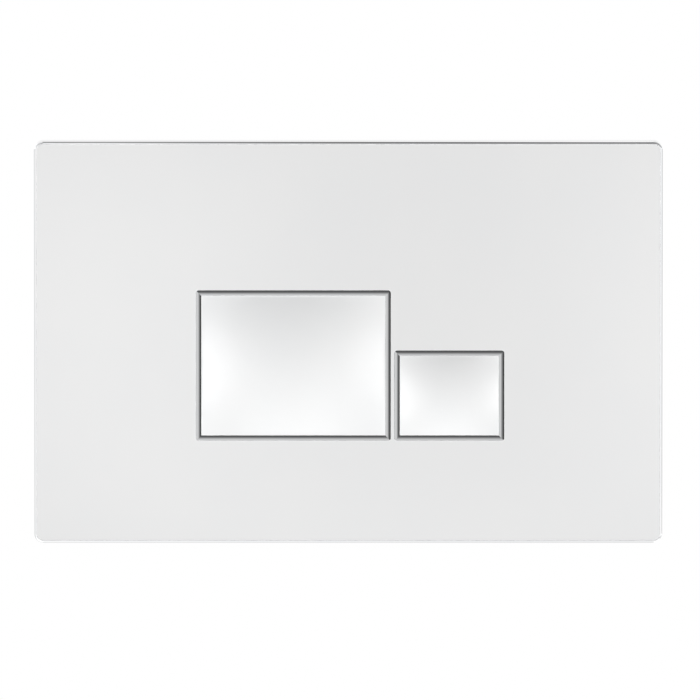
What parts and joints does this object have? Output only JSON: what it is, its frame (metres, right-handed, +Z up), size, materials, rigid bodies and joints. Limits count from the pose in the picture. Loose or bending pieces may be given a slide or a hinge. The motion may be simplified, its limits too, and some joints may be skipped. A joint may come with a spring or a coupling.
{
  "type": "flush button plate",
  "caption": "Rectangular flush plate for a concealed cistern: gloss white panel with a plated edge, a large and a small dished push button in plated bezels, mounting frame and push rods.",
  "frame": {"origin": "on the finished wall's plane, midway between the fixing studs, which is the plate's centre", "axes": "+X to the right of someone facing the plate, +Z up, +Y into the wall, so the plate faces -Y"},
  "size_m": [0.25, 0.0876, 0.16],
  "materials": {
    "polished_chrome": "mirror-polished plating",
    "gloss_white": "high gloss",
    "grey_moulding": "fine moulded grain",
    "natural_moulding": "satin",
    "rod_moulding": "satin",
    "plain_steel": "zinc-bright",
    "stop_rubber": "matt",
    "knob_moulding": "satin"
  },
  "bodies": {
    "cover": {"edge_trim": "polished_chrome", "face_panel": "gloss_white", "carrier": "grey_moulding", "carrier_screws": "plain_steel", "mounting_frame": "grey_moulding", "fixing_studs": "plain_steel", "stud_washers": "plain_steel", "fixing_knobs": "knob_moulding", "large_bezel": "polished_chrome", "small_bezel": "polished_chrome", "large_return_springs": "plain_steel", "small_return_springs": "plain_steel", "large_bumpers": "stop_rubber", "small_bumpers": "stop_rubber", "large_rod_spring": "plain_steel", "small_rod_spring": "plain_steel"},
    "large_button": {"large_button_cap": "gloss_white", "large_button_slider": "natural_moulding", "large_cap_screws": "plain_steel"},
    "small_button": {"small_button_cap": "gloss_white", "small_button_slider": "natural_moulding", "small_cap_screws": "plain_steel"},
    "large_rod": {"large_push_rod": "rod_moulding", "large_rod_head": "natural_moulding", "large_lock_nut": "rod_moulding"},
    "small_rod": {"small_push_rod": "rod_moulding", "small_rod_head": "natural_moulding", "small_lock_nut": "rod_moulding"}
  },
  "joints": [
    {"name": "large_button_slide", "type": "slide", "parent": "cover", "child": "large_button", "axis": [0, 1, 0], "range_m": [0, 0.005], "stiffness_N_per_m": 900, "springref_m": -0.004, "deforming": ["large_return_springs"]},
    {"name": "small_button_slide", "type": "slide", "parent": "cover", "child": "small_button", "axis": [0, 1, 0], "range_m": [0, 0.005], "stiffness_N_per_m": 900, "springref_m": -0.004, "deforming": ["small_return_springs"]},
    {"name": "large_rod_slide", "type": "slide", "parent": "cover", "child": "large_rod", "axis": [0, 1, 0], "range_m": [0, 0.005], "stiffness_N_per_m": 300, "springref_m": -0.004, "deforming": ["large_rod_spring"]},
    {"name": "small_rod_slide", "type": "slide", "parent": "cover", "child": "small_rod", "axis": [0, 1, 0], "range_m": [0, 0.005], "stiffness_N_per_m": 300, "springref_m": -0.004, "deforming": ["small_rod_spring"]}
  ],
  "couplings": [
    {"joint": "large_rod_slide", "follows": "large_button_slide", "ratio": 1},
    {"joint": "small_rod_slide", "follows": "small_button_slide", "ratio": 1}
  ]
}
